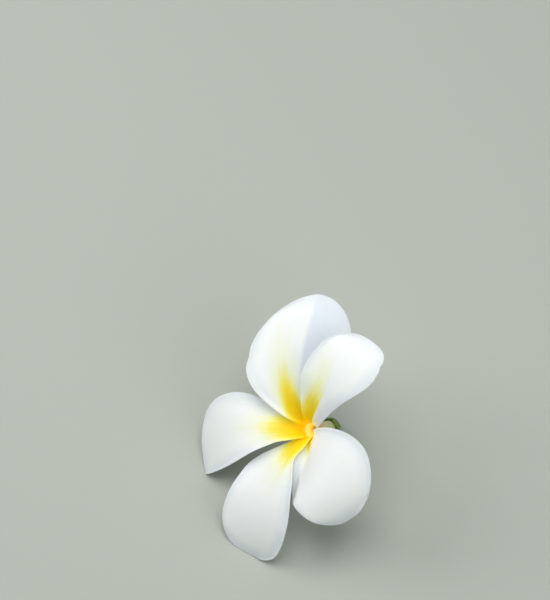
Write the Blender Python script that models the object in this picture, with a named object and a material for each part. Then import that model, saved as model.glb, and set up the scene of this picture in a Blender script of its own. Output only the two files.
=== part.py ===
"""A picked plumeria flower lying on a surface.

The flower is drawn upright, in millimetres: its axis is +Z, and the origin is the centre
of the throat, where five petals part from the tube. An empty then leans it over and sets
it down, so that it rests on the cut end of its stalk and on two drooping petals.
"""

import math
from dataclasses import dataclass

import bmesh
import bpy
import numpy as np
from mathutils import Matrix, Vector

MM = 0.001

# Throat and tube
THROAT_RADIUS = 2.3      # to the middle of the wall
TUBE_LENGTH = 16.5       # from the throat down to the foot
TUBE_RADII = ((-TUBE_LENGTH, 1.75), (-13, 1.75), (-8, 1.7), (-3, 2.0), (0, THROAT_RADIUS))
THROAT_SLOPE = 84.0      # steepness of a midrib where it leaves the throat, degrees
WALL = 0.7               # thickness of tube and petals
PETAL_COUNT = 5
FIRST_PETAL = 100.0      # direction of the first petal round the axis, degrees
HALF_SHARE = math.pi / PETAL_COUNT

# Petals
NECK_LENGTH = 8.0        # over which a petal bends out of the tube
CHANNEL_LENGTH = 5.0     # over which its round cross-section opens flat
SLIT = 0.3               # how far each margin steps back where two petals part
SIDE_SHARE = 0.6         # share of an outline that runs from the throat to the widest point
CORNER_SHARE = 0.8       # share of an outline that the sides of the grid take
ROWS_TUBE, ROWS_BLADE, COLUMNS = 7, 19, 12

# Lying on the surface
LEAN = 31.0              # the axis leans this far from upright, degrees
LEAN_TOWARDS = 222.0     # in this direction seen from above
THROAT_PLACE = (6.5, 0.7, 19.42)
GROUND_SIZE = 200

# Calyx, stalk and what the tube holds
CLEARANCE = 0.3
SEAT = -TUBE_LENGTH - CLEARANCE    # top of the stalk, under the tube's foot
STALK_END = -22.5
STALK_RADIUS = 1.1
SEPAL_HEIGHT = 2.6
SEPAL_WALL = 0.6
NOTCH_HEIGHT = 0.7       # of the notches between the sepals, above the seat
ANTHER_SIZE = (0.35, 0.42, 1.2)
ANTHER_HEIGHT = 3.3      # above the foot of the tube
ANTHER_OFFSET = 4.0      # degrees off the seam between two petals
ANTHER_TUMBLE = 20.0     # degrees, so that no edge lies along the wall
PISTIL_RADIUS = 0.85
PISTIL_HEIGHT = 3.6


@dataclass
class Petal:
    """A petal's design, in millimetres and degrees.

    Pairs give the counterclockwise side and then the clockwise side, seen from above.
    """

    place: int            # which fifth of the tube it grows from
    sweep: float          # swing of the midrib round the flower's axis
    length: float
    reach: tuple          # greatest half width of each side
    belly: tuple          # share of the length where a side is widest
    fullness: tuple       # of the far end: 2 is an ellipse, more is squarer
    tip: float            # offset of the tip, counterclockwise
    slope: tuple          # of the midrib at neck, middle and tip
    twist: tuple          # about the midrib at neck, past the middle, and tip
    spread: tuple = (0.9, 0.9)    # below 1 the side widens sooner
    arch: float = 0.0     # curvature across the blade, negative where it domes


PETALS = (
    Petal(0, sweep=-13, length=42.7, reach=(13.5, 17), belly=(0.54, 0.58), fullness=(1.8, 2.1),
          tip=-6.5, slope=(32, 5, -20), twist=(16, 6, 0), spread=(1.0, 0.9)),
    Petal(1, sweep=14, length=41.8, reach=(8.3, 13.5), belly=(0.66, 0.65), fullness=(2.0, 2.15),
          tip=7.4, slope=(30, -15, -41), twist=(16, 4, 0), spread=(0.9, 0.8)),
    Petal(2, sweep=-7, length=47, reach=(10.2, 13), belly=(0.74, 0.46), fullness=(2.8, 2.5),
          tip=0.5, slope=(38, -7, -37), twist=(20, 5, -8), spread=(1.1, 0.85)),
    Petal(3, sweep=-22, length=37, reach=(15.4, 14.5), belly=(0.62, 0.36), fullness=(1.85, 1.75),
          tip=0, slope=(56, 12, -56), twist=(14, 4, 0), spread=(1.05, 0.8), arch=-0.014),
    Petal(4, sweep=17, length=41, reach=(12.3, 8.3), belly=(0.54, 0.82), fullness=(2.2, 2.6),
          tip=-3, slope=(47, 18, -30), twist=(14, 1, 0), spread=(0.9, 2.2)),
)


def ease(t):
    """Rise smoothly from 0 to 1 as t does."""
    t = np.clip(t, 0, 1)
    return t * t * (3 - 2 * t)


def smooth_through(places, values, at):
    """Read a smooth curve through a few stations."""
    places, values = np.array(places, float), np.array(values, float)
    tangents = np.gradient(values, places)
    at = np.clip(at, places[0], places[-1])
    left = np.clip(np.searchsorted(places, at, side="right") - 1, 0, len(places) - 2)
    gap = places[left + 1] - places[left]
    t = (at - places[left]) / gap
    return (values[left] * (2 * t**3 - 3 * t**2 + 1) + values[left + 1] * (3 * t**2 - 2 * t**3)
            + gap * tangents[left] * (t**3 - 2 * t**2 + t) + gap * tangents[left + 1] * (t**3 - t**2))


def outline(petal, side, share):
    """Flat outline of one side, from throat (share 0) to tip (1): across and along."""
    which = 0 if side > 0 else 1
    base, reach = THROAT_RADIUS * HALF_SHARE, petal.reach[which]
    widest = petal.belly[which] * petal.length
    tip = petal.tip * side
    rising = np.clip(share / SIDE_SHARE, 0, 1)
    turning = np.clip((share - SIDE_SHARE) / (1 - SIDE_SHARE), 0, 1) * math.pi / 2
    power = 2 / petal.fullness[which]
    across_side = base + (reach - base) * np.sin(math.pi / 2 * rising ** petal.spread[which]) ** 2
    across_end = tip + (reach - tip) * np.cos(turning) ** power
    along_end = widest + (petal.length - widest) * np.sin(turning) ** power
    across = np.where(share < SIDE_SHARE, across_side, across_end)
    along = np.where(share < SIDE_SHARE, widest * rising, along_end)
    across = across - SLIT * ease(along / 1.2) * (1 - ease((along - 3.5) / 4))
    return np.stack([side * across, along], axis=-1)


def flat_blade(petal, across, along):
    """Map a grid, across -1 to 1 and along 0 to 1, into the outline (a Coons patch)."""
    base = THROAT_RADIUS * HALF_SHARE
    v, u = ((across + 1) / 2)[:, None], along[:, None]
    end_share = 1 - (1 - CORNER_SHARE) * np.abs(across)
    end = np.where((across < 0)[:, None], outline(petal, -1, end_share), outline(petal, 1, end_share))
    start = np.stack([base * across, np.zeros_like(across)], axis=-1)
    left, right = outline(petal, -1, along * CORNER_SHARE), outline(petal, 1, along * CORNER_SHARE)
    corners = [outline(petal, side, np.array(share)) for share in (0.0, CORNER_SHARE) for side in (-1, 1)]
    bilinear = ((1 - u) * ((1 - v) * corners[0] + v * corners[1])
                + u * ((1 - v) * corners[2] + v * corners[3]))
    return (1 - u) * start + u * end + (1 - v) * left + v * right - bilinear


def tube_radius(height):
    """Radius of the tube, to the middle of its wall."""
    places, radii = zip(*TUBE_RADII)
    return smooth_through(places, radii, height)


def midrib(petal, along):
    """Radius, height and slope of the midrib, which goes straight down below the throat."""
    neck, middle, tip = petal.slope
    reach = 1.02 * petal.length
    path = np.linspace(0, reach, 1000)
    slope = np.radians(smooth_through(
        [0, 0.35 * NECK_LENGTH, NECK_LENGTH, 0.55 * petal.length, reach],
        [THROAT_SLOPE, (THROAT_SLOPE + neck) / 2 + 6, neck, middle, tip], path))
    step = path[1] - path[0]
    outward = np.cumsum(np.cos(slope[1:]) + np.cos(slope[:-1])) * step / 2
    upward = np.cumsum(np.sin(slope[1:]) + np.sin(slope[:-1])) * step / 2
    radius = np.interp(along, path, THROAT_RADIUS + np.concatenate([[0], outward]))
    height = np.interp(along, path, np.concatenate([[0], upward]))
    return (np.where(along < 0, tube_radius(along), radius),
            np.where(along < 0, along, height), np.interp(along, path, slope))


def raise_petal(petal, across, along):
    """Bend flat points (across, along in mm) into the petal and its fifth of the tube."""
    radius, height, slope = midrib(petal, along)
    blade = np.maximum(along, 0)
    channel = petal.arch + (1 / THROAT_RADIUS - petal.arch) * np.exp(-(blade / CHANNEL_LENGTH) ** 1.5)
    curve = np.where(along < 0, 1 / radius, channel)
    curve = np.where(np.abs(curve) < 1e-6, 1e-6, curve)
    sideways = np.sin(curve * across) / curve
    lift = (1 - np.cos(curve * across)) / curve
    twist = np.radians(smooth_through(
        [0, 3, 0.3 * petal.length, 0.65 * petal.length, 1.02 * petal.length],
        [0, 0.8 * petal.twist[0], *petal.twist], blade))
    sideways, lift = (sideways * np.cos(twist) - lift * np.sin(twist),
                      sideways * np.sin(twist) + lift * np.cos(twist))
    turn = np.radians(FIRST_PETAL + petal.place * 360 / PETAL_COUNT
                      + petal.sweep * ease(blade / petal.length))
    upright = np.where(along > 0, 1 - ease(blade / CHANNEL_LENGTH), 1)
    tilt = slope + (math.pi / 2 - slope) * upright
    out = radius - lift * np.sin(tilt)
    return np.stack([out * np.cos(turn) - sideways * np.sin(turn),
                     out * np.sin(turn) + sideways * np.cos(turn),
                     height + lift * np.cos(tilt)], axis=-1)


def petal_points(petal, x, y):
    """Place grid points (x across, y along, both -1 to 1) on the petal's sheet."""
    throat = 2 * ROWS_TUBE / (ROWS_TUBE + ROWS_BLADE) - 1
    along_blade = np.clip((y - throat) / (1 - throat), 0, 1) ** 1.15
    flat = flat_blade(petal, x, along_blade)
    depth = TUBE_LENGTH * np.clip((throat - y) / (throat + 1), 0, 1)
    across = np.where(depth > 0, tube_radius(-depth) * HALF_SHARE * x, flat[:, 0])
    along = np.where(depth > 0, -depth, flat[:, 1])
    return raise_petal(petal, across, along)


def add_petal(bm, petal):
    """Add one petal's sheet, its fifth of the tube included."""
    grid = bmesh.ops.create_grid(bm, x_segments=COLUMNS, y_segments=ROWS_TUBE + ROWS_BLADE, size=1)
    places = np.array([vert.co for vert in grid["verts"]], float)
    for vert, point in zip(grid["verts"], petal_points(petal, places[:, 0], places[:, 1])):
        vert.co = point


def material(name, colour, roughness):
    """Make a plain finish."""
    finish = bpy.data.materials.new(name)
    finish.use_nodes = True
    shader = finish.node_tree.nodes["Principled BSDF"]
    shader.inputs["Base Color"].default_value = (*colour, 1)
    shader.inputs["Roughness"].default_value = roughness
    shader.inputs["Metallic"].default_value = 0
    return finish


def make_object(name, bm, parent, finish=None):
    """Turn a mesh drawn in millimetres into an object in metres."""
    bmesh.ops.scale(bm, vec=(MM, MM, MM), verts=bm.verts)
    mesh = bpy.data.meshes.new(name)
    bm.to_mesh(mesh)
    bm.free()
    mesh.shade_smooth()
    mesh.set_sharp_from_angle(angle=math.radians(40))
    item = bpy.data.objects.new(name, mesh)
    bpy.context.collection.objects.link(item)
    item.parent = parent
    if finish:
        mesh.materials.append(finish)
    else:
        item.hide_render = True
        item.display_type = "WIRE"
    return item


def combine(item, other, operation):
    """Join another solid to this one, or cut it away."""
    boolean = item.modifiers.new(operation.lower(), "BOOLEAN")
    boolean.operation = operation
    boolean.solver = "EXACT"
    boolean.object = other


def make_anthers(parent):
    """Five small anthers, sunk into the wall near the foot of the tube."""
    bm = bmesh.new()
    height = ANTHER_HEIGHT - TUBE_LENGTH
    place_on_wall = (tube_radius(height) - WALL / 2 - ANTHER_SIZE[0] / 3, 0, height)
    tumble = Matrix.Rotation(math.radians(ANTHER_TUMBLE), 3, (1, 1, 1))
    for place in range(PETAL_COUNT):
        anther = bmesh.ops.create_icosphere(bm, subdivisions=1, radius=1)["verts"]
        turn = math.radians(FIRST_PETAL + ANTHER_OFFSET) + (2 * place + 1) * HALF_SHARE
        bmesh.ops.rotate(bm, matrix=tumble, verts=anther)
        bmesh.ops.scale(bm, vec=ANTHER_SIZE, verts=anther)
        bmesh.ops.translate(bm, vec=place_on_wall, verts=anther)
        bmesh.ops.rotate(bm, matrix=Matrix.Rotation(turn, 3, "Z"), verts=anther)
    return make_object("anthers", bm, parent)


def make_corolla(parent, finish):
    """Five petals grown together into one tube, as one thick sheet."""
    bm = bmesh.new()
    for petal in PETALS:
        add_petal(bm, petal)
    bmesh.ops.remove_doubles(bm, verts=bm.verts, dist=0.001)
    bmesh.ops.triangulate(bm, faces=bm.faces, quad_method="BEAUTY")
    corolla = make_object("corolla", bm, parent, finish)
    sheet = corolla.modifiers.new("wall", "SOLIDIFY")
    sheet.thickness = WALL * MM
    sheet.offset = 0
    combine(corolla, make_anthers(parent), "UNION")
    return corolla


def turned(profile, sides):
    """Spin a profile of (radius, height) points, ends on the axis, into a solid."""
    bm = bmesh.new()
    points = [bm.verts.new((radius, 0, height)) for radius, height in profile]
    edges = [bm.edges.new(pair) for pair in zip(points, points[1:])]
    bmesh.ops.spin(bm, geom=points + edges, cent=(0, 0, 0), axis=(0, 0, 1), dvec=(0, 0, 0),
                   angle=2 * math.pi, steps=sides, use_merge=True)
    bmesh.ops.remove_doubles(bm, verts=bm.verts, dist=0.0001)
    bmesh.ops.recalc_face_normals(bm, faces=bm.faces)
    return bm


def make_calyx_and_stalk(parent, finish):
    """A short stalk that swells into a cup of five blunt sepals round the tube's foot."""
    inner = tube_radius(-TUBE_LENGTH) + WALL / 2 + CLEARANCE
    outer = inner + SEPAL_WALL
    rim = SEAT + SEPAL_HEIGHT
    bm = turned([(0, STALK_END), (STALK_RADIUS, STALK_END), (STALK_RADIUS, SEAT - 3.2),
                 (STALK_RADIUS + 0.25, SEAT - 2.2), ((STALK_RADIUS + outer) / 2 + 0.2, SEAT - 1.2),
                 (outer - 0.15, SEAT - 0.4), (outer, SEAT + 0.4), (outer, SEAT + 1.4),
                 (outer - 0.1, rim - 0.25), ((inner + outer) / 2, rim), (inner, rim - 0.15),
                 (inner, SEAT + 1.2), (inner, SEAT), (0, SEAT)], sides=40)
    notch = SEAT + NOTCH_HEIGHT
    for vert in bm.verts:
        if vert.co.z > notch:
            around = math.atan2(vert.co.y, vert.co.x) - math.radians(FIRST_PETAL)
            lobe = 0.3 + 0.7 * abs(math.cos(around * PETAL_COUNT / 2)) ** 0.7
            vert.co.z = notch + (vert.co.z - notch) * lobe
    return make_object("calyx_and_stalk", bm, parent, finish)


def make_pistil(parent, finish):
    """Ovary, short style and blunt stigma, standing on the seat inside the tube."""
    foot = SEAT + CLEARANCE
    shape = [(0, 0), (0.85, 0.03), (1, 0.2), (0.75, 0.38), (0.35, 0.5), (0.3, 0.7),
             (0.42, 0.8), (0.36, 0.93), (0, 1)]
    bm = turned([(r * PISTIL_RADIUS, foot + h * PISTIL_HEIGHT) for r, h in shape], sides=16)
    return make_object("pistil", bm, parent, finish)


def make_ground_cutter():
    """What lies below the surface, which flattens the three spots that bear on it."""
    bm = bmesh.new()
    bmesh.ops.create_cube(bm, size=GROUND_SIZE)
    bmesh.ops.translate(bm, vec=(0, 0, -GROUND_SIZE / 2), verts=bm.verts)
    return make_object("ground_cutter", bm, None)


def build():
    for item in list(bpy.data.objects):
        bpy.data.objects.remove(item, do_unlink=True)

    flower = bpy.data.objects.new("flower", None)
    bpy.context.collection.objects.link(flower)
    towards = math.radians(LEAN_TOWARDS)
    hinge = Vector((-math.sin(towards), math.cos(towards), 0))
    place = Matrix.Translation(Vector(THROAT_PLACE) * MM)
    flower.matrix_world = place @ Matrix.Rotation(math.radians(LEAN), 4, hinge)

    petal_white = material("petal_white", (0.93, 0.93, 0.88), 0.45)
    calyx_green = material("calyx_green", (0.36, 0.47, 0.20), 0.5)
    pistil_pale = material("pistil_pale", (0.78, 0.82, 0.55), 0.5)

    corolla = make_corolla(flower, petal_white)
    calyx_and_stalk = make_calyx_and_stalk(flower, calyx_green)
    make_pistil(flower, pistil_pale)
    ground = make_ground_cutter()
    for item in (corolla, calyx_and_stalk):
        combine(item, ground, "DIFFERENCE")


build()
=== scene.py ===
# %% [markdown]
# # A picked plumeria flower
#
# The solids of this flower come from CAD: a corolla, a calyx with its stalk, and a pistil. They fix
# its size and how it lies on a surface, but their wall is thick and their skin is plain. This lesson
# keeps their place and makes what is seen: thin petals with soft margins, a golden throat, a slim
# tube, a green calyx and the small parts that the tube holds.

# %% Load the solids
import math
from dataclasses import dataclass

import bmesh
import bpy
import numpy as np
from mathutils import Matrix, Vector


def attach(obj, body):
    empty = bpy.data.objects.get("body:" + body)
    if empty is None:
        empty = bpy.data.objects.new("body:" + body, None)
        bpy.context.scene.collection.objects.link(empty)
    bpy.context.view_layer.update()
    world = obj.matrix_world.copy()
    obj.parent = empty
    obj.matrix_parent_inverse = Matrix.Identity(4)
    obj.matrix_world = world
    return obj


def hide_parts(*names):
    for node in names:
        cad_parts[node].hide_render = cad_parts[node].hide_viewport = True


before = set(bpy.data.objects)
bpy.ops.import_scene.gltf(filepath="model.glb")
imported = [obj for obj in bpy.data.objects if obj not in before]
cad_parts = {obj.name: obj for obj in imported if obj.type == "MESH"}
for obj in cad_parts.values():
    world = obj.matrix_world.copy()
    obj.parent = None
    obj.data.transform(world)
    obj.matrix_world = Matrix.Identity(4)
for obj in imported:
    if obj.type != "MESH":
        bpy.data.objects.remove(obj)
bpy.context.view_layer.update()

# %% [markdown]
# ## Camera
#
# The picture was taken from above the flower and a little in front of it, from far enough away for
# the petals to keep their proportions. So the camera looks down at 67 degrees through a long lens.
# It could be aimed by eye, but two facts place it exactly: how far it is from the throat, and at
# which pixel the throat appears.

# %% Camera
MM = 0.001               # one millimetre in metres
PICTURE = (550, 600)     # width and height in pixels
THROAT_PLACE = (6.5, 0.7, 19.42)
THROAT_PIXEL = (311, 430)
CAMERA_HEIGHT = 67.0     # above the horizon, degrees
CAMERA_DISTANCE = 500.0
LENS, SENSOR = 100.0, 36.0

focal = PICTURE[1] * LENS / SENSOR
right = (THROAT_PIXEL[0] - PICTURE[0] / 2) / focal * CAMERA_DISTANCE
down = (THROAT_PIXEL[1] - PICTURE[1] / 2) / focal * CAMERA_DISTANCE
turn_camera = Matrix.Rotation(math.radians(90 - CAMERA_HEIGHT), 4, "X")
stand_off = turn_camera @ Vector((-right, down, CAMERA_DISTANCE))

camera_data = bpy.data.cameras.new("camera")
camera_data.lens = LENS
camera_data.sensor_width = SENSOR
camera_data.sensor_height = SENSOR
camera_data.sensor_fit = "VERTICAL"
camera_data.clip_start = 0.01
camera_data.clip_end = 20
camera = bpy.data.objects.new("camera", camera_data)
camera.matrix_world = Matrix.Translation((Vector(THROAT_PLACE) + stand_off) * MM) @ turn_camera
bpy.context.collection.objects.link(camera)
bpy.context.scene.camera = camera
print("camera stands at, mm:", [round(value / MM) for value in camera.matrix_world.translation])

# %% [markdown]
# ## Shape of the petals
#
# Each petal is drawn flat first, as an outline with two different sides and a tip that may stand
# off the middle, because the petals of a plumeria are lopsided like the blades of a propeller. The
# margin could be traced point by point, but a few named values are easier to read and to change.
# They are those of the solids, so the picture and the solids agree. Two things differ, because thin
# petals allow it: the slits at the throat are narrower, and the lower right petal's end is a little
# rounder. Small forms are added: notches, a fuller or hollower stretch of margin, shoulders, flanks
# and one crease.

# %% One petal's design
NO_EDGE = -99.0          # far off the petal, so that nothing is cut


@dataclass
class Petal:
    """A petal's design, in millimetres and degrees.

    Pairs for the outline give the counterclockwise side first, seen from above.
    """

    place: int            # which fifth of the tube it grows from
    sweep: float          # swing of the midrib round the flower's axis
    length: float
    reach: tuple          # greatest half width of each side
    belly: tuple          # share of the length where a side is widest
    fullness: tuple       # of the far end: 2 is an ellipse, more is squarer
    tip: float            # offset of the tip, counterclockwise
    slope: tuple          # of the midrib at neck, middle and tip
    twist: tuple          # about the midrib at neck, past the middle, and tip
    spread: tuple         # below 1 the side widens sooner
    gold: tuple           # how far the golden mark runs along and across
    gold_drift: float     # how fast it drifts counterclockwise off the midrib
    gold_edge: float = NO_EDGE    # across, where it ends short on the clockwise side
    arch: float = 0.0     # curvature across the blade, negative where it domes
    notches: tuple = ()   # side, share of the outline, depth (negative swells out), width
    shoulder: float = 0.0    # extra width that lies over the next petal near the throat
    flank: float = 0.0    # how far the clockwise side of the neck turns down
    fold: float = 0.0     # slope of the clockwise half, down from the crease


# %% The five petals, counterclockwise from the tallest
PETALS = (
    Petal(0, sweep=-13, length=42.7, reach=(13.5, 17), belly=(0.54, 0.58), fullness=(1.8, 2.1),
          tip=-6.5, slope=(32, 5, -20), twist=(16, 6, 0), spread=(1.0, 0.9),
          notches=((1, 0.64, 0.5, 0.025),), fold=0.45, gold=(22, 4.0), gold_drift=0.12),
    Petal(1, sweep=14, length=41.8, reach=(8.3, 13.5), belly=(0.66, 0.65), fullness=(2.0, 2.15),
          tip=7.4, slope=(30, -15, -41), twist=(16, 4, 0), spread=(0.9, 0.8),
          shoulder=1.6, gold=(15, 6.0), gold_drift=-0.08),
    Petal(2, sweep=-7, length=47, reach=(10.2, 13), belly=(0.74, 0.46), fullness=(2.8, 2.5),
          tip=0.5, slope=(38, -7, -37), twist=(20, 5, -8), spread=(1.1, 0.85),
          notches=((1, 0.2, 1.2, 0.07),), shoulder=2.1, flank=0.8, gold=(15, 5.6), gold_drift=-0.12),
    Petal(3, sweep=-22, length=37, reach=(15.4, 14.3), belly=(0.62, 0.36), fullness=(1.85, 1.8),
          tip=0, slope=(56, 12, -56), twist=(14, 4, 0), spread=(1.05, 0.8), arch=-0.014,
          notches=((-1, 0.6, -1.3, 0.13),), flank=0.9, gold=(9, 3.6), gold_drift=-0.35),
    Petal(4, sweep=17, length=41, reach=(12.3, 8.3), belly=(0.54, 0.82), fullness=(2.2, 2.6),
          tip=-3, slope=(47, 18, -30), twist=(14, 1, 0), spread=(0.9, 2.2),
          notches=((-1, 0.7, 0.4, 0.035),), flank=0.5, gold=(20, 5.2), gold_drift=0.27,
          gold_edge=0.8),
)
print(len(PETALS), "petals, lengths in mm:", [petal.length for petal in PETALS])


# %% Smooth curves through a few values
def ease(t):
    """Rise smoothly from 0 to 1 as t does."""
    t = np.clip(t, 0, 1)
    return t * t * (3 - 2 * t)


def swell(along, start, full, fade, end):
    """Rise from 0 to 1 between start and full, and fall back to 0 between fade and end."""
    return ease((along - start) / (full - start)) * (1 - ease((along - fade) / (end - fade)))


def smooth_through(places, values, at):
    """Read a smooth curve through a few stations."""
    places = np.array(places, float)
    values = np.array(values, float)
    tangents = np.gradient(values, places)
    at = np.clip(at, places[0], places[-1])
    left = np.clip(np.searchsorted(places, at, side="right") - 1, 0, len(places) - 2)
    gap = places[left + 1] - places[left]
    t = (at - places[left]) / gap
    start = values[left] * (2 * t**3 - 3 * t**2 + 1) + gap * tangents[left] * (t**3 - 2 * t**2 + t)
    end = values[left + 1] * (3 * t**2 - 2 * t**3) + gap * tangents[left + 1] * (t**3 - t**2)
    return start + end


# %% Outline of a petal, drawn flat
THROAT_RADIUS = 2.3      # to the middle of the wall
PETAL_COUNT = 5
HALF_SHARE = math.pi / PETAL_COUNT
SLIT = 0.2               # taken off each side, so that neighbours part at the throat
SIDE_SHARE = 0.6         # share of an outline that runs along its side, the rest is its end


def outline(petal, side, share):
    """Flat outline of one side, from throat (share 0) to tip (1): across and along."""
    which = 0 if side > 0 else 1
    base = THROAT_RADIUS * HALF_SHARE
    reach = petal.reach[which]
    widest = petal.belly[which] * petal.length
    tip = petal.tip * side
    power = 2 / petal.fullness[which]
    rising = np.clip(share / SIDE_SHARE, 0, 1)
    turning = np.clip((share - SIDE_SHARE) / (1 - SIDE_SHARE), 0, 1) * math.pi / 2
    across_side = base + (reach - base) * np.sin(math.pi / 2 * rising ** petal.spread[which]) ** 2
    across_end = tip + (reach - tip) * np.cos(turning) ** power
    along_end = widest + (petal.length - widest) * np.sin(turning) ** power
    across = np.where(share < SIDE_SHARE, across_side, across_end)
    along = np.where(share < SIDE_SHARE, widest * rising, along_end)
    across = across - SLIT * swell(along, 0, 1.2, 3.5, 7.5)
    if side > 0:
        across = across + petal.shoulder * swell(along, 0.8, 2.6, 3, 11)
    for notch_side, place, depth, width in petal.notches:
        if notch_side == side:
            across = across - depth * np.exp(-((share - place) / width) ** 2)
    return np.stack([side * across, along], axis=-1)


# %% Fill the outline with a grid
CORNER_SHARE = 0.8       # share at which the grid turns its corner


def flat_blade(petal, across, along):
    """Map a grid, across -1 to 1 and along 0 to 1, into the outline (a Coons patch)."""
    base = THROAT_RADIUS * HALF_SHARE
    v = ((across + 1) / 2)[:, None]
    u = along[:, None]
    end_share = 1 - (1 - CORNER_SHARE) * np.abs(across)
    far_left = outline(petal, -1, end_share)
    far_right = outline(petal, 1, end_share)
    end = np.where((across < 0)[:, None], far_left, far_right)
    start = np.stack([base * across, np.zeros_like(across)], axis=-1)
    left = outline(petal, -1, along * CORNER_SHARE)
    right = outline(petal, 1, along * CORNER_SHARE)
    near_corners = [outline(petal, side, np.array(0.0)) for side in (-1, 1)]
    far_corners = [outline(petal, side, np.array(CORNER_SHARE)) for side in (-1, 1)]
    near = (1 - v) * near_corners[0] + v * near_corners[1]
    far = (1 - v) * far_corners[0] + v * far_corners[1]
    return (1 - u) * start + u * end + (1 - v) * left + v * right - (1 - u) * near - u * far


# %% [markdown]
# ## From a flat outline to a petal
#
# A petal leaves the tube almost upright, as a fifth of a round pipe, and then opens flat while it
# bends outwards. It also twists a little, so that one margin lies over the next petal. Modifiers
# could bend it step by step. Here one formula carries a flat point into place, so that any number
# of rows gives the same shape.

# %% Tube
TUBE_LENGTH = 16.5
TUBE_RADII = ((-TUBE_LENGTH, 1.75), (-13, 1.75), (-8, 1.7), (-3, 2.0), (0, THROAT_RADIUS))


def tube_radius(height):
    """Radius of the tube, to the middle of its wall."""
    places, radii = zip(*TUBE_RADII)
    return smooth_through(places, radii, height)


print("tube's radius half way down, mm:", round(float(tube_radius(-TUBE_LENGTH / 2)), 2))


# %% Midrib
THROAT_SLOPE = 84.0      # steepness of a midrib where it leaves the throat, degrees
NECK_LENGTH = 8.0        # over which a petal bends out of the tube
PATH_SHARE = 1.02        # the path runs a little past the tip


def midrib(petal, along):
    """Radius, height and slope of the midrib, which goes straight down below the throat."""
    neck, middle, tip = petal.slope
    path_end = PATH_SHARE * petal.length
    path = np.linspace(0, path_end, 1000)
    stations = [0, 0.35 * NECK_LENGTH, NECK_LENGTH, 0.55 * petal.length, path_end]
    slopes = [THROAT_SLOPE, (THROAT_SLOPE + neck) / 2 + 6, neck, middle, tip]
    slope = np.radians(smooth_through(stations, slopes, path))
    step = path[1] - path[0]
    outward = np.cumsum(np.cos(slope[1:]) + np.cos(slope[:-1])) * step / 2
    upward = np.cumsum(np.sin(slope[1:]) + np.sin(slope[:-1])) * step / 2
    radius = np.interp(along, path, THROAT_RADIUS + np.concatenate([[0], outward]))
    height = np.interp(along, path, np.concatenate([[0], upward]))
    radius = np.where(along < 0, tube_radius(along), radius)
    height = np.where(along < 0, along, height)
    return radius, height, np.interp(along, path, slope)


# %% Flank and crease
CREASE_DRIFT = 0.12      # how fast the tallest petal's crease leaves its midrib, clockwise


def sag(petal, across, along):
    """How far the clockwise half hangs below the plain bend, in mm: its flank and its crease."""
    beyond = np.maximum(-across - 0.6 - 0.1 * along, 0)
    under_neighbour = beyond / (beyond + 1.2) * (1 - ease((beyond - 3) / 5))
    flank = petal.flank * swell(along, 1, 5, 5, 15) * under_neighbour
    past_crease = np.sqrt(np.minimum(across + CREASE_DRIFT * along, 0) ** 2 + 1) - 1
    return flank + petal.fold * past_crease * ease((along - 8) / 12)


# %% Bend flat points into a petal
FIRST_PETAL = 100.0      # direction of the first petal round the axis, degrees
CHANNEL_LENGTH = 5.0     # over which a petal's round cross-section opens flat
NEARLY_FLAT = 1e-6       # least curvature, so that nothing is divided by zero


def raise_petal(petal, across, along):
    """Bend flat points (across, along in mm) into the petal and its fifth of the tube."""
    radius, height, slope = midrib(petal, along)
    blade = np.maximum(along, 0)
    opening = np.exp(-(blade / CHANNEL_LENGTH) ** 1.5)
    channel = petal.arch + (1 / THROAT_RADIUS - petal.arch) * opening
    curve = np.where(along < 0, 1 / radius, channel)
    curve = np.where(np.abs(curve) < NEARLY_FLAT, NEARLY_FLAT, curve)
    sideways = np.sin(curve * across) / curve
    lift = (1 - np.cos(curve * across)) / curve - sag(petal, across, along)
    stations = [0, 3, 0.3 * petal.length, 0.65 * petal.length, PATH_SHARE * petal.length]
    twists = [0, 0.8 * petal.twist[0], *petal.twist]
    twist = np.radians(smooth_through(stations, twists, blade))
    turned_sideways = sideways * np.cos(twist) - lift * np.sin(twist)
    lift = sideways * np.sin(twist) + lift * np.cos(twist)
    swing = petal.sweep * ease(blade / petal.length)
    turn = np.radians(FIRST_PETAL + petal.place * 360 / PETAL_COUNT + swing)
    upright = np.where(along > 0, 1 - ease(blade / CHANNEL_LENGTH), 1)
    tilt = slope + (math.pi / 2 - slope) * upright
    out = radius - lift * np.sin(tilt)
    x = out * np.cos(turn) - turned_sideways * np.sin(turn)
    y = out * np.sin(turn) + turned_sideways * np.cos(turn)
    return np.stack([x, y, height + lift * np.cos(tilt)], axis=-1)


# %% Flat places of the grid
ROWS_TUBE, ROWS_BLADE, COLUMNS = 18, 84, 48
THROAT_ROW = 2 * ROWS_TUBE / (ROWS_TUBE + ROWS_BLADE) - 1
ROW_CROWDING = 1.15      # above 1, rows stand closer together near the throat


def flat_places(petal, x, y):
    """Across and along, in mm, of grid points (both -1 to 1)."""
    blade = np.clip((y - THROAT_ROW) / (1 - THROAT_ROW), 0, 1) ** ROW_CROWDING
    flat = flat_blade(petal, x, blade)
    depth = TUBE_LENGTH * np.clip((THROAT_ROW - y) / (THROAT_ROW + 1), 0, 1)
    across = np.where(depth > 0, tube_radius(-depth) * HALF_SHARE * x, flat[:, 0])
    along = np.where(depth > 0, -depth, flat[:, 1])
    return across, along


def sheet_points(petal, x, y):
    """Grid points on the middle of a petal's wall."""
    return raise_petal(petal, *flat_places(petal, x, y))


print("one petal's grid:", ROWS_TUBE + ROWS_BLADE, "rows and", COLUMNS, "columns")

# %% [markdown]
# ## Small forms that make a petal look grown
#
# A living petal is never quite smooth: its margin waves by some tenths of a millimetre, and the
# margin that lies on top turns up into a narrow rim that catches the light. They could be painted
# as bumps, but then the outline would stay straight. So both are moves along the surface's own
# normal, which fade away from the margin. The wall is thinnest there too.

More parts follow.
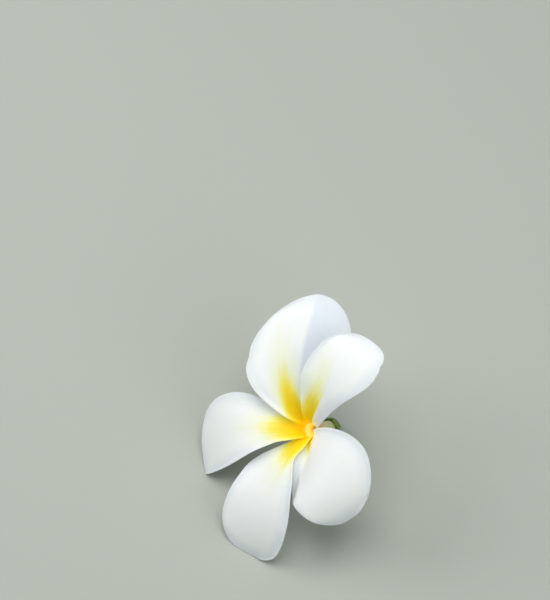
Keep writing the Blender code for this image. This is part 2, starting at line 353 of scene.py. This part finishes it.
# %% Distance to the margin
def margin_distance(petal, x, y):
    """Distance to the margin in mm, measured across the blade and along to its end."""
    across, along = flat_places(petal, x, y)
    nearer_side = np.where(x < 0, -1.0, 1.0)
    edge_across, edge_along = flat_places(petal, nearer_side, y)
    end_across, end_along = flat_places(petal, x, np.ones_like(y))
    to_side = np.hypot(edge_across - across, edge_along - along)
    to_end = np.hypot(end_across - across, end_along - along)
    return np.minimum(to_side, to_end)


# %% Relief
WAVE_HEIGHT = 0.13
WAVE_BAND = 3.0          # distance from the margin over which the waves fade
RIM_CURL = 0.35          # how far the counterclockwise margin turns up
RIM_BAND = 0.9


def relief(petal, x, y):
    """How far the finished petal stands above the plain sheet, in mm.

    Two waves of different length make a margin that never repeats itself.
    """
    across, along = flat_places(petal, x, y)
    margin = margin_distance(petal, x, y)
    blade = ease((along - 4) / 10)
    phase = 1.7 * petal.place
    wave = np.sin(along / 3.1 + phase) + 0.6 * np.sin(along / 1.7 + across / 5 + 2 * phase)
    wavy = WAVE_HEIGHT * wave * np.exp(-(margin / WAVE_BAND) ** 2) * blade
    on_top = ease((x - 0.2) / 0.3) * ease((along - 1.5) / 3)
    rim = RIM_CURL * np.exp(-(margin / RIM_BAND) ** 2) * on_top
    return wavy + rim


# %% Thickness
WALL = 0.7               # of the tube
MARGIN_WALL = 0.26
BLADE_WALL = 0.46
THIN_BAND = 5            # distance from the margin over which the wall thickens


def wall_thickness(petal, x, y):
    """Thickness of the wall in mm: the tube's at the base, and thin at the margin."""
    along = flat_places(petal, x, y)[1]
    thick = ease(margin_distance(petal, x, y) / THIN_BAND)
    blade = MARGIN_WALL + (BLADE_WALL - MARGIN_WALL) * thick
    base = 1 - ease((along + 4) / 6)
    return blade + (WALL - blade) * base


# %% Points of the finished petal
def petal_points(petal, x, y):
    """Place grid points on the finished petal: the plain sheet, moved along its normal."""
    step = 0.002
    points = sheet_points(petal, x, y)
    low_x, high_x = np.maximum(x - step, -1), np.minimum(x + step, 1)
    low_y, high_y = np.maximum(y - step, -1), np.minimum(y + step, 1)
    crosswise = sheet_points(petal, high_x, y) - sheet_points(petal, low_x, y)
    lengthwise = sheet_points(petal, x, high_y) - sheet_points(petal, x, low_y)
    normal = np.cross(lengthwise, crosswise)
    normal = normal / np.maximum(np.linalg.norm(normal, axis=1), 1e-12)[:, None]
    return points + normal * relief(petal, x, y)[:, None]


# %% [markdown]
# ## Lying on the surface
#
# A picked flower rolls over until it bears on its stalk and on two petals. It could be modelled
# where it lies, but round parts are far easier to make upright. So each part is drawn upright and
# then leaned over and set down, with the same lean as the solids.

# %% Place of the flower
LEAN = 31.0              # of the flower's axis, degrees
LEAN_TOWARDS = 222.0     # direction in which its throat leans

towards = math.radians(LEAN_TOWARDS)
hinge = Vector((-math.sin(towards), math.cos(towards), 0))
lean = Matrix.Rotation(math.radians(LEAN), 4, hinge)
flower_place = Matrix.Translation(Vector(THROAT_PLACE)) @ lean
print("axis leans", LEAN, "degrees, throat at, mm:", THROAT_PLACE)


# %% Set down a mesh
def lean_over(bm, lowest=lambda vert: 0.0):
    """Set down a mesh that was drawn upright, in mm, and flatten it where it bears."""
    bmesh.ops.transform(bm, matrix=flower_place, verts=bm.verts)
    bearing = 0
    for vert in bm.verts:
        if vert.co.z < lowest(vert):
            vert.co.z = lowest(vert)
            bearing += 1
    print("points that bear on the surface:", bearing)


# %% Make a piece from a mesh
def make_piece(name, bm):
    """Turn a mesh in millimetres into a piece in metres."""
    bmesh.ops.scale(bm, vec=(MM, MM, MM), verts=bm.verts)
    mesh = bpy.data.meshes.new(name)
    bm.to_mesh(mesh)
    bm.free()
    mesh.shade_smooth()
    piece = bpy.data.objects.new(name, mesh)
    bpy.context.collection.objects.link(piece)
    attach(piece, "root")
    return piece


# %% [markdown]
# ## The bloom
#
# On the real flower the five petals grow together into one tube, so the bloom is one piece. Five
# separate petals could be pushed together, but then a seam would show at every joint. So each
# petal is a grid with its fifth of the tube, carried into place by the formulas, and the five are
# merged along the tube. The grid's own places are kept with the mesh, as a map across and along
# each petal. Later the golden marks and the veins follow it.

# %% Add one petal
def add_petal(bm, petal, layers):
    """Add one petal's sheet, its fifth of the tube included."""
    segments = ROWS_TUBE + ROWS_BLADE
    grid = bmesh.ops.create_grid(bm, x_segments=COLUMNS, y_segments=segments, size=1)
    verts = grid["verts"]
    x, y = np.array([vert.co[:2] for vert in verts], float).T
    places = petal_points(petal, x, y)
    across, along = flat_places(petal, x, y)
    wall = wall_thickness(petal, x, y)
    for vert, place, thick in zip(verts, places, wall):
        vert.co = place
        vert[layers["wall"]][0] = thick / WALL
    flat = dict(zip(verts, zip(across, along)))
    inward = dict(zip(verts, margin_distance(petal, x, y)))
    for face in {face for vert in verts for face in vert.link_faces}:
        for loop in face.loops:
            loop[layers["map"]].uv = flat[loop.vert]
            loop[layers["reach"]].uv = petal.gold
            loop[layers["gold"]].uv = (petal.gold_drift, petal.gold_edge)
            loop[layers["rim"]].uv = (inward[loop.vert], petal.place)


# %% Make one sheet of five petals
bm = bmesh.new()
layers = {
    "wall": bm.verts.layers.deform.new(),
    "map": bm.loops.layers.uv.new("petal_map"),
    "reach": bm.loops.layers.uv.new("gold_reach"),
    "gold": bm.loops.layers.uv.new("gold_place"),
    "rim": bm.loops.layers.uv.new("rim_and_number"),
}
for petal in PETALS:
    add_petal(bm, petal, layers)
bmesh.ops.remove_doubles(bm, verts=bm.verts, dist=0.001)
bmesh.ops.recalc_face_normals(bm, faces=bm.faces)
bm.faces.ensure_lookup_table()
highest = max(bm.faces, key=lambda face: face.calc_center_median().z)
if highest.normal.z < 0:      # the upper side has to be the outside
    bmesh.ops.reverse_faces(bm, faces=bm.faces)
open_edges = sum(edge.is_boundary for edge in bm.edges)
print("bloom sheet:", len(bm.faces), "faces, open edges:", open_edges)

# %% [markdown]
# ### Rest and wall
#
# A real petal is firm at its foot and thin at its margin. A second sheet could be built beside the
# first, but the two would have to be kept apart everywhere. So the sheet is the middle of the wall,
# and Solidify gives it two faces. Its vertex group holds the share of the full wall at every point.
# The sheet therefore rests half a wall above the surface. A fine bevel rounds the cut margins.

# %% Let it rest on the surface
lean_over(bm, lowest=lambda vert: vert[layers["wall"]][0] * WALL / 2)

# %% Give the sheet its wall and round its margins
bloom = make_piece("bloom", bm)
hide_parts("corolla")
bloom.vertex_groups.new(name="wall")

wall = bloom.modifiers.new("wall", "SOLIDIFY")
wall.thickness = WALL * MM
wall.offset = 0
wall.vertex_group = "wall"
wall.thickness_vertex_group = 0
wall.material_offset = 1
wall.material_offset_rim = 0

BEVEL_WIDTH = 0.07
rim = bloom.modifiers.new("rim", "BEVEL")
rim.width = BEVEL_WIDTH * MM
rim.segments = 2
rim.limit_method = "ANGLE"
rim.angle_limit = math.radians(60)
rim.use_clamp_overlap = True
print("bloom wall, mm:", MARGIN_WALL, "at the margins and", WALL, "in the tube")

# %% [markdown]
# ## Stamens
#
# Five tiny anthers grow on the inner wall near the foot of the tube. They are hidden in the picture,
# but they can be seen by looking down the throat. A single pod each would do, but a real anther
# has two lobes with a groove between them. So each is two long pods that meet.

# %% Anthers
ANTHER_SIZE = (0.35, 0.42, 1.2)    # half sizes: out from the axis, around it, and upwards
ANTHER_HEIGHT = 3.3      # above the foot of the tube
LOBE_WIDTH = 0.55        # share of the anther's width
LOBE_OFFSET = 0.45

bm = bmesh.new()
depth, width, height = ANTHER_SIZE
inside = tube_radius(ANTHER_HEIGHT - TUBE_LENGTH) - WALL / 2
for place in range(PETAL_COUNT):
    around = math.radians(FIRST_PETAL) + (2 * place + 1) * HALF_SHARE
    for lobe in (-1, 1):
        pod = bmesh.ops.create_icosphere(bm, subdivisions=3, radius=1)["verts"]
        bmesh.ops.scale(bm, vec=(depth, LOBE_WIDTH * width, height), verts=pod)
        bmesh.ops.translate(bm, vec=(0, LOBE_OFFSET * lobe * width, 0), verts=pod)
        out = Vector((inside - depth / 3, 0, ANTHER_HEIGHT - TUBE_LENGTH))
        bmesh.ops.translate(bm, vec=out, verts=pod)
        bmesh.ops.rotate(bm, matrix=Matrix.Rotation(around, 3, "Z"), verts=pod)
print("anther lobes:", 2 * PETAL_COUNT, "with", len(bm.faces), "faces")
lean_over(bm)
anthers = make_piece("anthers", bm)

# %% [markdown]
# ## Calyx, stalk and pistil
#
# The calyx is the small green cup of five blunt sepals round the foot of the tube. It grows on the
# swollen end of the stalk. Sepals could be five petals in small, but they are grown together for
# most of their height. So calyx and stalk come from one profile that is spun, and then the rim of
# the cup is pulled down between the sepals. The pistil is spun too.

# %% Sizes below the tube
CLEARANCE = 0.3
SEAT = -TUBE_LENGTH - CLEARANCE    # top of the stalk, under the tube's foot
STALK_END = -22.5
STALK_RADIUS = 1.1
SEPAL_HEIGHT = 2.6
SEPAL_WALL = 0.6
NOTCH_HEIGHT = 0.7       # above the seat, where the sepals part
LOWEST_SHARE = 0.3       # of the cup's height above that, left between two sepals
print("stalk ends, mm below the throat:", -STALK_END)


# %% Spin a profile
def turned(profile, sides):
    """Spin a profile of (radius, height) points, ends on the axis, into a solid."""
    bm = bmesh.new()
    points = [bm.verts.new((radius, 0, height)) for radius, height in profile]
    edges = [bm.edges.new(pair) for pair in zip(points, points[1:])]
    bmesh.ops.spin(bm, geom=points + edges, cent=(0, 0, 0), axis=(0, 0, 1), dvec=(0, 0, 0),
                   angle=2 * math.pi, steps=sides, use_merge=True)
    bmesh.ops.remove_doubles(bm, verts=bm.verts, dist=0.0001)
    bmesh.ops.recalc_face_normals(bm, faces=bm.faces)
    return bm


# %% Calyx and stalk
inner = tube_radius(-TUBE_LENGTH) + WALL / 2 + CLEARANCE
outer = inner + SEPAL_WALL
cup_rim = SEAT + SEPAL_HEIGHT
cut = [(0, STALK_END), (STALK_RADIUS - 0.1, STALK_END), (STALK_RADIUS, STALK_END + 0.1)]
stalk = [(STALK_RADIUS, SEAT - 4.2), (STALK_RADIUS, SEAT - 3.2), (STALK_RADIUS + 0.25, SEAT - 2.2)]
swelling = [((STALK_RADIUS + outer) / 2 + 0.2, SEAT - 1.2), (outer - 0.15, SEAT - 0.4)]
cup_outside = [(outer, SEAT + 0.4), (outer, SEAT + 1.4), (outer - 0.1, cup_rim - 0.25)]
cup_inside = [((inner + outer) / 2, cup_rim), (inner, cup_rim - 0.15), (inner, SEAT + 1.2),
              (inner, SEAT), (0, SEAT)]
bm = turned(cut + stalk + swelling + cup_outside + cup_inside, sides=80)

notch = SEAT + NOTCH_HEIGHT
for vert in bm.verts:
    if vert.co.z > notch:
        around = math.atan2(vert.co.y, vert.co.x) - math.radians(FIRST_PETAL)
        between = abs(math.cos(around * PETAL_COUNT / 2)) ** 0.7
        lobe = LOWEST_SHARE + (1 - LOWEST_SHARE) * between
        vert.co.z = notch + (vert.co.z - notch) * lobe
for face in bm.faces:
    if face.calc_center_median().z < STALK_END + 0.02:
        face.material_index = 1
print("calyx and stalk:", len(bm.faces), "faces")
lean_over(bm)
calyx = make_piece("calyx", bm)
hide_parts("calyx_and_stalk")

# %% Pistil
PISTIL_RADIUS = 0.85
PISTIL_HEIGHT = 3.6
foot = SEAT + CLEARANCE
shape = [(0, 0), (0.85, 0.03), (1, 0.2), (0.75, 0.38), (0.35, 0.5), (0.3, 0.7),
         (0.42, 0.8), (0.36, 0.93), (0, 1)]
profile = [(r * PISTIL_RADIUS, foot + h * PISTIL_HEIGHT) for r, h in shape]
bm = turned(profile, sides=32)
print("pistil:", len(bm.faces), "faces")
lean_over(bm)
pistil = make_piece("pistil_soft", bm)
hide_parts("pistil")


# %% [markdown]
# ## Materials
#
# A petal is a thin, soft, slightly waxy skin over cells full of air and water. It scatters light
# inside itself, so its shades are soft and its thin margin glows. A flat white would look like
# plaster, so the Principled shader's subsurface does this, and nodes give it colour and grain. A
# few helpers keep the nodes as short to write as sums.

# %% Colours, links and sums
def colour(red, green, blue):
    """A colour as a screen shows it, 0 to 255, as the linear values that light uses."""
    shares = [value / 255 for value in (red, green, blue)]
    linear = [s / 12.92 if s <= 0.04045 else ((s + 0.055) / 1.055) ** 2.4 for s in shares]
    return (*linear, 1)


def feed(tree, value, socket):
    """Link a value to a socket if it comes from a node, or else set it there."""
    if isinstance(value, bpy.types.NodeSocket):
        tree.links.new(value, socket)
    else:
        socket.default_value = value


def maths(tree, operation, *values):
    """One step of arithmetic."""
    step = tree.nodes.new("ShaderNodeMath")
    step.operation = operation
    for value, socket in zip(values, step.inputs):
        feed(tree, value, socket)
    return step.outputs[0]


def weigh(tree, first, second, share):
    """A weighted mean: this share of the first and the rest of the second."""
    return maths(tree, "ADD", maths(tree, "MULTIPLY", first, share),
                 maths(tree, "MULTIPLY", second, 1 - share))


# %% Steps, mixes and noise
def soft_step(tree, value, low, high):
    """0 below low, 1 above high, smooth between."""
    step = tree.nodes.new("ShaderNodeMapRange")
    step.interpolation_type = "SMOOTHSTEP"
    feed(tree, value, step.inputs["Value"])
    feed(tree, low, step.inputs["From Min"])
    feed(tree, high, step.inputs["From Max"])
    return step.outputs["Result"]


def mix_colours(tree, share, first, second):
    """From the first colour to the second."""
    mix = tree.nodes.new("ShaderNodeMix")
    mix.data_type = "RGBA"
    feed(tree, share, mix.inputs["Factor"])
    feed(tree, first, mix.inputs["A"])
    feed(tree, second, mix.inputs["B"])
    return mix.outputs["Result"]


def noise(tree, vector, scale, detail=2.0):
    """Soft random pattern around 0.5."""
    pattern = tree.nodes.new("ShaderNodeTexNoise")
    feed(tree, vector, pattern.inputs["Vector"])
    feed(tree, scale, pattern.inputs["Scale"])
    feed(tree, detail, pattern.inputs["Detail"])
    return pattern.outputs["Fac"]


# %% Places and bumps
def combine_xyz(tree, x, y, z):
    """Three numbers as one vector."""
    join = tree.nodes.new("ShaderNodeCombineXYZ")
    for value, socket in zip((x, y, z), join.inputs):
        feed(tree, value, socket)
    return join.outputs[0]


def separate_xyz(tree, vector):
    """One vector as three numbers."""
    split = tree.nodes.new("ShaderNodeSeparateXYZ")
    tree.links.new(vector, split.inputs[0])
    return split.outputs


def map_places(tree, name):
    """The two numbers that a map of the mesh holds at each corner."""
    source = tree.nodes.new("ShaderNodeUVMap")
    source.uv_map = name
    return separate_xyz(tree, source.outputs[0])[:2]


def bump(tree, height, distance):
    """A normal that shows a height pattern, whose full depth is the distance in metres."""
    raised = tree.nodes.new("ShaderNodeBump")
    raised.inputs["Distance"].default_value = distance
    tree.links.new(height, raised.inputs["Height"])
    return raised.outputs["Normal"]


# %% Start a material
def new_material(name, roughness, subsurface, radius, depth):
    """A material with the constant values of a living skin on its shader, depth in metres."""
    finish = bpy.data.materials.new(name)
    finish.use_nodes = True
    shader = finish.node_tree.nodes["Principled BSDF"]
    shader.inputs["Roughness"].default_value = roughness
    shader.inputs["Subsurface Weight"].default_value = subsurface
    shader.inputs["Subsurface Radius"].default_value = radius
    shader.inputs["Subsurface Scale"].default_value = depth
    return finish, finish.node_tree, shader.inputs


# %% [markdown]
# ### Shared effects
#
# Two effects serve more than one finish. Streaks run from the throat and fan out as veins do, and
# follow the petal's own map. The skin's fine grain is a mottle in three dimensions, the same in
# every direction. They could be copied into each material, but built once as node groups they are
# changed in one place.

# %% Node groups and their use
def new_group(name, inputs, outputs):
    """A shader node group with number sockets."""
    group = bpy.data.node_groups.new(name, "ShaderNodeTree")
    for socket in inputs:
        group.interface.new_socket(socket, in_out="INPUT", socket_type="NodeSocketFloat")
    for socket in outputs:
        group.interface.new_socket(socket, in_out="OUTPUT", socket_type="NodeSocketFloat")
    return group, group.nodes.new("NodeGroupInput").outputs, group.nodes.new("NodeGroupOutput").inputs


def place_group(tree, group, **values):
    """Put a group into a material with its own values."""
    item = tree.nodes.new("ShaderNodeGroup")
    item.node_tree = group
    for name, value in values.items():
        feed(tree, value, item.inputs[name])
    return item.outputs


# %% Streaks and skin
FAN_START = 24.0         # how far below the throat the streaks would meet, mm
PETALS_APART = 7.3       # sets each petal in a place of its own in the pattern
STRETCH = 0.06           # how little the streaks change lengthwise
FINER_STREAKS = 3.7
FINER_GRAIN = 14.0

streaks, given, result = new_group("streaks", ["across", "along", "number", "fineness"],
                                   ["coarse", "fine"])
fan = maths(streaks, "DIVIDE", given["across"], maths(streaks, "ADD", given["along"], FAN_START))
fan = maths(streaks, "MULTIPLY", fan, given["fineness"])
apart = maths(streaks, "MULTIPLY", given["number"], PETALS_APART)
lengthwise = maths(streaks, "MULTIPLY", given["along"], STRETCH)
feed(streaks, noise(streaks, combine_xyz(streaks, fan, lengthwise, apart), 1.0), result["coarse"])
finer = maths(streaks, "MULTIPLY", fan, FINER_STREAKS)
feed(streaks, noise(streaks, combine_xyz(streaks, finer, lengthwise, apart), 1.0), result["fine"])

skin, given, result = new_group("skin", ["scale"], ["mottle", "grain"])
place = skin.nodes.new("ShaderNodeTexCoord").outputs["Object"]
feed(skin, noise(skin, place, given["scale"], 3.0), result["mottle"])
finer = maths(skin, "MULTIPLY", given["scale"], FINER_GRAIN)
feed(skin, noise(skin, place, finer, 1.0), result["grain"])
print("node groups:", [group.name for group in bpy.data.node_groups])

# %% [markdown]
# ### What both sides of a petal share
#
# Both sides are the same white skin, thinner towards the margin, with veins and grain that stand up
# by some hundredths of a millimetre. Towards the margin the white turns a little cooler and darker,
# which is painted shade. They could be one finish, but their colours near the throat differ. So the
# common parts are helpers, and each side adds its own.

# %% Skin, white and veins of a petal
WHITE = colour(247, 249, 246)
# painted shade: a cooler, darker white towards the margins
RIM_SHADE_WHITE = colour(231, 237, 244)
PETAL_GRAIN = 160.0      # scale of the skin's mottle
VEIN_DEPTH = 0.00005     # metres


def petal_material(name):
    """A material with the constant values of a petal's skin."""
    return new_material(name, roughness=0.5, subsurface=0.9, radius=(1.0, 0.96, 0.9), depth=0.001)


def petal_white_with_rim_shade(tree, inward, grain):
    """White, with a painted shade that makes it cooler and darker towards the margin, whose distance
    is known at every point.
    """
    from_rim = maths(tree, "ADD", inward, maths(tree, "MULTIPLY", grain["mottle"], 3.0))
    return mix_colours(tree, soft_step(tree, from_rim, 1.5, 7.0), RIM_SHADE_WHITE, WHITE)


def petal_relief(tree, rays, grain):
    """Fine veins and grain as a normal."""
    return bump(tree, weigh(tree, rays["fine"], grain["grain"], 0.8), VEIN_DEPTH)


# %% [markdown]
# ### Petal, upper side
#
# The upper side is white with a golden mark that runs out of the throat along the midrib. It could
# be painted, but a formula stays sharp at any size: an oval round the throat, whose rim the streaks
# break up, so that the gold runs out in fine rays and pales through lemon to cream. The lip of the
# throat is pale, partly as a painted highlight, and the tube inside it is golden again. Daylight
# comes through the thin wall there, and a weak glow stands for it. This glow is painted light, and
# it also brightens the necks of the petals, which lie in shade.

# %% Colours of the upper side
CREAM = colour(243, 244, 214)
LEMON = colour(254, 228, 90)
GOLD = colour(255, 202, 4)
DEEP_GOLD = colour(255, 190, 0)
# pale gold of the throat's lip, partly a painted highlight
PALE_GOLD_AND_HIGHLIGHT = colour(240, 228, 140)
SHADE = colour(226, 231, 247)
RAY_DEPTH = 0.36         # how far the streaks break up the rim of the gold
EDGE_DRIFT = 0.12        # how fast a cut mark's edge leaves the midrib, counterclockwise

# %% Golden mark
petal_face, tree, shader = petal_material("petal_face")
across, along = map_places(tree, "petal_map")
reach, width = map_places(tree, "gold_reach")
drift, edge = map_places(tree, "gold_place")
inward, number = map_places(tree, "rim_and_number")
rays = place_group(tree, streaks, across=across, along=along, number=number, fineness=36.0)
grain = place_group(tree, skin, scale=PETAL_GRAIN)
outward = maths(tree, "MAXIMUM", along, 0.0)
along_share = maths(tree, "DIVIDE", outward, reach)
off_middle = maths(tree, "SUBTRACT", across, maths(tree, "MULTIPLY", outward, drift))
across_share = maths(tree, "DIVIDE", off_middle, width)
oval = maths(tree, "SQRT", maths(tree, "ADD", maths(tree, "MULTIPLY", along_share, along_share),
                                 maths(tree, "MULTIPLY", across_share, across_share)))
ray = maths(tree, "MULTIPLY", maths(tree, "SUBTRACT", rays["coarse"], 0.5), RAY_DEPTH)
paleness = maths(tree, "ADD", oval, maths(tree, "MULTIPLY", ray, along_share))
cut = maths(tree, "ADD", edge, maths(tree, "MULTIPLY", outward, EDGE_DRIFT))
past_edge = soft_step(tree, maths(tree, "SUBTRACT", cut, across), -0.1, 0.7)
paleness = maths(tree, "ADD", paleness, past_edge)

# %% White, and the shade past the tallest petal's crease
white = petal_white_with_rim_shade(tree, inward, grain)
is_tallest = maths(tree, "LESS_THAN", number, 0.5)
from_crease = maths(tree, "ADD", across, maths(tree, "MULTIPLY", outward, CREASE_DRIFT))
beyond = soft_step(tree, from_crease, 0.2, -1.4)
past_crease = maths(tree, "MULTIPLY", beyond, soft_step(tree, along, 9.0, 20.0))
white = mix_colours(tree, maths(tree, "MULTIPLY", is_tallest, past_crease), white, SHADE)

# %% From deep gold to white
tint = mix_colours(tree, soft_step(tree, paleness, 0.9, 1.8), CREAM, white)
tint = mix_colours(tree, soft_step(tree, paleness, 0.65, 1.15), LEMON, tint)
tint = mix_colours(tree, soft_step(tree, paleness, 0.45, 0.9), GOLD, tint)
tint = mix_colours(tree, soft_step(tree, paleness, 0.1, 0.5), DEEP_GOLD, tint)
# The lip is pale partly as a painted highlight, and deeper the tube is gold.
throat = mix_colours(tree, soft_step(tree, along, -9.0, -2.5), GOLD, PALE_GOLD_AND_HIGHLIGHT)
tint = mix_colours(tree, soft_step(tree, along, -1.6, 1.0), throat, tint)
feed(tree, tint, shader["Base Color"])
shader["Specular IOR Level"].default_value = 0.25

# %% Painted glow in the throat and on the necks, and veins
# Painted light: a glow in the surface's own colours, strongest at the lip and fading out along the
# necks to 17 mm.
shader["Emission Strength"].default_value = 0.33
near_throat = maths(tree, "POWER", soft_step(tree, along, 17.0, -3.0), 1.4)
lit = maths(tree, "MULTIPLY", near_throat, soft_step(tree, along, -9.0, -2.0))
painted_glow = mix_colours(tree, lit, (0, 0, 0, 1), tint)
feed(tree, painted_glow, shader["Emission Color"])
feed(tree, petal_relief(tree, rays, grain), shader["Normal"])
print("petal_face:", len(tree.nodes), "nodes")

# %% [markdown]
# ### Petal, under side, and the tube
#
# Seen from behind, the petals are white with an olive-yellow stripe at the base, and the tube is
# creamy, greenish towards the calyx, with a warm blush where the petals part. Each could have its
# own finish, but on the flower they run into each other. So one finish follows the map lengthwise,
# and the streaks make the borders uneven.

# %% Petal, under side
OLIVE = colour(214, 205, 120)
BLUSH = colour(246, 190, 120)
TUBE_CREAM = colour(246, 236, 178)
TUBE_GREEN = colour(205, 214, 130)

petal_back, tree, shader = petal_material("petal_back")
across, along = map_places(tree, "petal_map")
inward, number = map_places(tree, "rim_and_number")
rays = place_group(tree, streaks, across=across, along=along, number=number, fineness=40.0)
grain = place_group(tree, skin, scale=PETAL_GRAIN)
white = petal_white_with_rim_shade(tree, inward, grain)
off_stripe = maths(tree, "ABSOLUTE", maths(tree, "ADD", across, -0.8))
outward = maths(tree, "MAXIMUM", along, 0.0)
narrow = maths(tree, "ADD", off_stripe, maths(tree, "MULTIPLY", outward, 0.16))
ray = maths(tree, "MULTIPLY", rays["coarse"], 1.6)
stripe = soft_step(tree, maths(tree, "ADD", narrow, ray), 1.6, 3.6)
tint = mix_colours(tree, stripe, OLIVE, white)
base = soft_step(tree, maths(tree, "ADD", along, maths(tree, "MULTIPLY", ray, 1.5)), -1.0, 7.0)
tint = mix_colours(tree, base, BLUSH, tint)
creamy = soft_step(tree, maths(tree, "ADD", along, ray), -7.0, 0.5)
tint = mix_colours(tree, creamy, TUBE_CREAM, tint)
greenish = soft_step(tree, maths(tree, "ADD", along, ray), -16.0, -8.0)
tint = mix_colours(tree, greenish, TUBE_GREEN, tint)
feed(tree, tint, shader["Base Color"])
feed(tree, petal_relief(tree, rays, grain), shader["Normal"])
print("petal_back:", len(tree.nodes), "nodes")

# %% [markdown]
# ### Green and pale skins
#
# The calyx and stalk are a waxy green with fine lengthwise lines, paler at the cut end, which shows
# the pith. The pistil and anthers are pale. Plain colours would look like plastic, so all of them
# are mottled by the skin's grain. The green skin also has lines, and these need places that are
# turned upright again, because they run along the stalk.

# %% Places along the stalk
def along_flower(tree, squeeze):
    """Object places turned upright again, and squeezed along the flower's axis."""
    upright = tree.nodes.new("ShaderNodeVectorRotate")
    upright.inputs["Axis"].default_value = hinge
    upright.inputs["Angle"].default_value = -math.radians(LEAN)
    place = tree.nodes.new("ShaderNodeTexCoord").outputs["Object"]
    tree.links.new(place, upright.inputs["Vector"])
    squeezed = tree.nodes.new("ShaderNodeMapping")
    squeezed.inputs["Scale"].default_value = (1, 1, squeeze)
    tree.links.new(upright.outputs[0], squeezed.inputs["Vector"])
    return squeezed.outputs[0]


# %% Calyx and stalk
FRESH_GREEN = colour(134, 156, 74)
DEEP_GREEN = colour(100, 124, 54)

calyx_skin, tree, shader = new_material("calyx_skin", roughness=0.42, subsurface=0.15,
                                        radius=(0.6, 0.9, 0.3), depth=0.0005)
grain = place_group(tree, skin, scale=420.0)
lines = noise(tree, along_flower(tree, squeeze=0.08), 2600.0, 1.0)
mixed = weigh(tree, lines, grain["mottle"], 0.55)
green = mix_colours(tree, soft_step(tree, mixed, 0.4, 0.6), DEEP_GREEN, FRESH_GREEN)
feed(tree, green, shader["Base Color"])
height = weigh(tree, lines, grain["grain"], 0.7)
feed(tree, bump(tree, height, 0.0001), shader["Normal"])
print("calyx_skin:", len(tree.nodes), "nodes")


# %% A mottled finish
def mottled(name, roughness, radius, depth, scale, colours, grain_depth):
    """A finish that is mottled between two colours, with the skin's grain as relief."""
    finish, tree, shader = new_material(name, roughness, subsurface=0.2, radius=radius, depth=depth)
    grain = place_group(tree, skin, scale=scale)
    share = soft_step(tree, grain["mottle"], 0.35, 0.65)
    feed(tree, mix_colours(tree, share, *colours), shader["Base Color"])
    feed(tree, bump(tree, grain["grain"], grain_depth), shader["Normal"])
    print(name + ":", len(tree.nodes), "nodes")
    return finish


# %% Cut end, pistil and anthers
PITH = colour(216, 222, 172)
WOODY = colour(172, 170, 116)
PALE_GREEN = colour(216, 222, 160)
SOFT_GREEN = colour(196, 208, 132)
POLLEN = colour(244, 228, 150)
DEEP_POLLEN = colour(226, 200, 104)

cut_end = mottled("cut_end", roughness=0.7, radius=(0.8, 0.9, 0.5), depth=0.0005,
                  scale=1500.0, colours=(PITH, WOODY), grain_depth=0.0001)
pistil_skin = mottled("pistil_skin", roughness=0.4, radius=(0.8, 0.9, 0.4), depth=0.0004,
                      scale=900.0, colours=(PALE_GREEN, SOFT_GREEN), grain_depth=0.00005)
anther_skin = mottled("anther_skin", roughness=0.6, radius=(0.9, 0.8, 0.4), depth=0.0004,
                      scale=1200.0, colours=(POLLEN, DEEP_POLLEN), grain_depth=0.00005)

# %% Give each piece its finishes
bloom.data.materials.append(petal_face)
bloom.data.materials.append(petal_back)
anthers.data.materials.append(anther_skin)
calyx.data.materials.append(calyx_skin)
calyx.data.materials.append(cut_end)
pistil.data.materials.append(pistil_skin)
for piece in (bloom, anthers, calyx, pistil):
    print(piece.name, "wears", [finish.name for finish in piece.data.materials])

# %% [markdown]
# ## Floor and light
#
# White petals show best on a floor that is pale but darker than they are. One strong lamp would
# draw hard shadows among them. So a large soft lamp above stands for the sky, a second one from the
# left is like a window, and a weak one from the right front keeps the shades soft.

# %% Floor
bm = bmesh.new()
bmesh.ops.create_grid(bm, x_segments=1, y_segments=1, size=2)      # half its side, in metres
floor_mesh = bpy.data.meshes.new("floor")
bm.to_mesh(floor_mesh)
bm.free()
floor = bpy.data.objects.new("floor", floor_mesh)
bpy.context.collection.objects.link(floor)
floor_finish = bpy.data.materials.new("floor")
floor_finish.use_nodes = True
floor_shader = floor_finish.node_tree.nodes["Principled BSDF"].inputs
floor_shader["Base Color"].default_value = colour(176, 180, 172)
floor_shader["Roughness"].default_value = 0.9
floor_mesh.materials.append(floor_finish)
print("floor side, m:", floor.dimensions.x)


# %% Lights
def add_light(name, place, size, power, tint):
    """A soft square lamp that faces the flower: place and size in metres, power in watts."""
    lamp = bpy.data.lights.new(name, "AREA")
    lamp.shape = "SQUARE"
    lamp.size = size
    lamp.energy = power
    lamp.color = tint
    item = bpy.data.objects.new(name, lamp)
    item.location = place
    item.rotation_euler = (-Vector(place)).to_track_quat("-Z", "Y").to_euler()
    bpy.context.collection.objects.link(item)


add_light("sky", place=(0, 0.12, 0.8), size=0.5, power=4.2, tint=(1, 0.99, 0.96))
add_light("window", place=(-0.6, 0.25, 0.5), size=0.5, power=2.7, tint=(0.99, 0.99, 1))
add_light("fill", place=(0.42, -0.35, 0.55), size=0.6, power=1.5, tint=(0.96, 1, 0.98))

world = bpy.data.worlds.new("world")
world.use_nodes = True
background = world.node_tree.nodes["Background"].inputs
background["Color"].default_value = (0.8, 0.95, 0.97, 1)
background["Strength"].default_value = 0.18
bpy.context.scene.world = world
bpy.context.scene.view_settings.view_transform = "Standard"
print("lamps, W:", {lamp.name: round(lamp.energy, 1) for lamp in bpy.data.lights})
